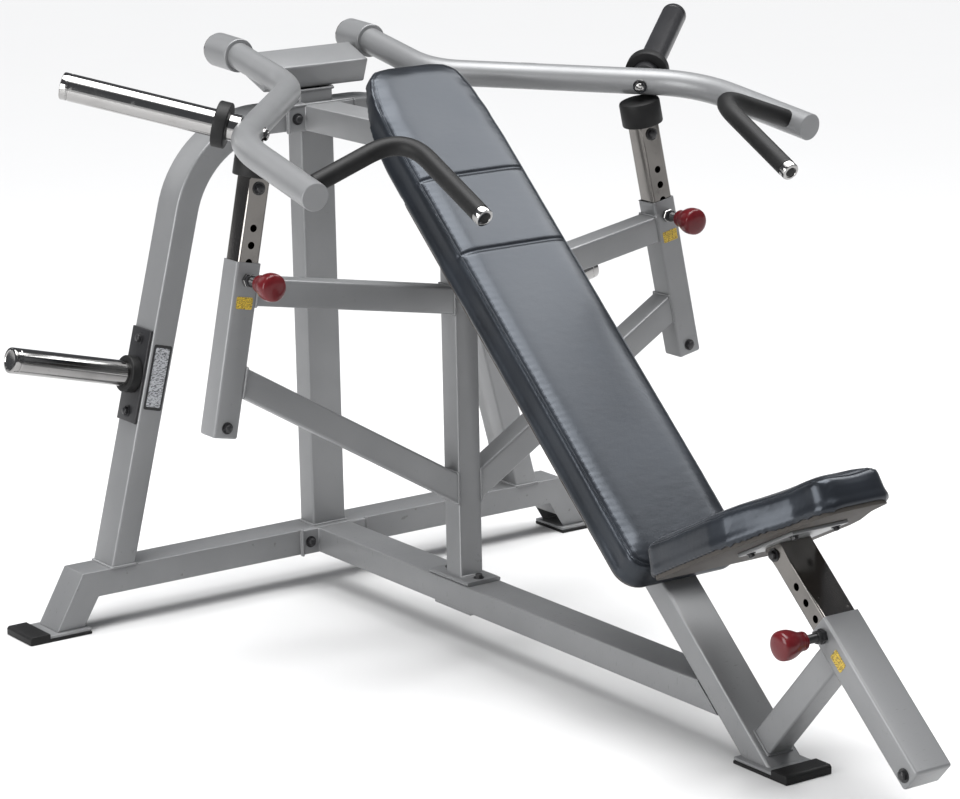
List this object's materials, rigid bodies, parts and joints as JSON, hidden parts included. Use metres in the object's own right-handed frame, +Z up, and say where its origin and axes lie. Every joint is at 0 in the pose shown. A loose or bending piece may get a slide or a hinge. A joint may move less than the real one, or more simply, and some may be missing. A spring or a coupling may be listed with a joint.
{
  "type": "incline press machine",
  "caption": "Plate-loaded incline press machine with an inclined back pad, a sliding seat, two converging lever arms with bent handles, adjustable arm stops and plate storage pegs.",
  "frame": {"origin": "on the floor at the middle of the machine's footprint box", "axes": "+Z up; +Y from the seat towards the rear crossbar; +X to the left hand of a user who sits facing -Y"},
  "size_m": [1.4142, 1.9398, 1.1316],
  "materials": {
    "frame_paint": "satin light silver-grey powder coat",
    "plated_tube": "dark bright-plated steel tube",
    "chrome": "polished chrome",
    "vinyl": "glossy black upholstery vinyl with sewn seams",
    "board": "bare dark plywood",
    "rubber": "matt black moulded rubber",
    "knob": "glossy dark red plastic",
    "black_steel": "satin black coated steel"
  },
  "bodies": {
    "frame": {"base_crossbar": "frame_paint", "left_foot_plate": "frame_paint", "left_foot_cap": "rubber", "right_foot_plate": "frame_paint", "right_foot_cap": "rubber", "front_foot_plate": "frame_paint", "front_foot_cap": "rubber", "base_beam": "frame_paint", "main_upright": "frame_paint", "head_box": "frame_paint", "left_rear_leg": "frame_paint", "right_rear_leg": "frame_paint", "top_tube": "frame_paint", "incline_tube": "frame_paint", "center_post": "frame_paint", "post_clamp_plate": "frame_paint", "left_cross_arm": "frame_paint", "right_cross_arm": "frame_paint", "left_brace": "frame_paint", "right_brace": "frame_paint", "left_stop_sleeve": "frame_paint", "right_stop_sleeve": "frame_paint", "seat_strut": "frame_paint", "seat_sleeve": "frame_paint", "left_pivot_housing": "frame_paint", "right_pivot_housing": "frame_paint", "left_storage_plate": "black_steel", "right_storage_plate": "black_steel", "left_storage_peg": "chrome", "right_storage_peg": "chrome", "left_storage_collar": "rubber", "right_storage_collar": "rubber", "back_pad": "vinyl", "back_board": "board"},
    "left_arm": {"left_pivot_shaft": "chrome", "left_arm_tube": "frame_paint", "left_weight_sleeve": "chrome", "left_sleeve_collar": "rubber", "left_handle_grip": "rubber", "left_handle_cap": "chrome"},
    "right_arm": {"right_pivot_shaft": "chrome", "right_arm_tube": "frame_paint", "right_weight_sleeve": "black_steel", "right_sleeve_collar": "rubber", "right_handle_grip": "rubber", "right_handle_cap": "chrome"},
    "left_stop": {"left_stop_post": "plated_tube", "left_stop_bumper": "rubber"},
    "right_stop": {"right_stop_post": "plated_tube", "right_stop_bumper": "rubber"},
    "left_stop_pin": {"left_stop_pin_plunger": "black_steel", "left_stop_pin_knob": "knob"},
    "right_stop_pin": {"right_stop_pin_plunger": "black_steel", "right_stop_pin_knob": "knob"},
    "seat": {"seat_post": "plated_tube", "seat_bracket": "frame_paint", "seat_board": "board", "seat_pad": "vinyl"},
    "seat_pin": {"seat_pin_plunger": "black_steel", "seat_pin_knob": "knob"}
  },
  "joints": [
    {"name": "left_arm_hinge", "type": "hinge", "parent": "frame", "child": "left_arm", "pos_m": [-0.152, 0.96135, 1.081], "axis": [0, 0.9986, 0.0523], "range_deg": [0, 70]},
    {"name": "right_arm_hinge", "type": "hinge", "parent": "frame", "child": "right_arm", "pos_m": [0.152, 0.96135, 1.081], "axis": [0, -0.9986, -0.0523], "range_deg": [0, 70]},
    {"name": "left_stop_slide", "type": "slide", "parent": "frame", "child": "left_stop", "axis": [0.1977, 0, 0.9803], "range_m": [-0.093, 0]},
    {"name": "right_stop_slide", "type": "slide", "parent": "frame", "child": "right_stop", "axis": [-0.1977, 0, 0.9803], "range_m": [-0.093, 0]},
    {"name": "seat_slide", "type": "slide", "parent": "frame", "child": "seat", "axis": [0, 0.7478, 0.6639], "range_m": [-0.099, 0.066]},
    {"name": "left_stop_pin_pull", "type": "slide", "parent": "frame", "child": "left_stop_pin", "axis": [0, -1, 0], "range_m": [0, 0.012], "stiffness_N_per_m": 900},
    {"name": "right_stop_pin_pull", "type": "slide", "parent": "frame", "child": "right_stop_pin", "axis": [0, -1, 0], "range_m": [0, 0.012], "stiffness_N_per_m": 900},
    {"name": "seat_pin_pull", "type": "slide", "parent": "frame", "child": "seat_pin", "axis": [-1, 0, 0], "range_m": [0, 0.012], "stiffness_N_per_m": 900}
  ]
}
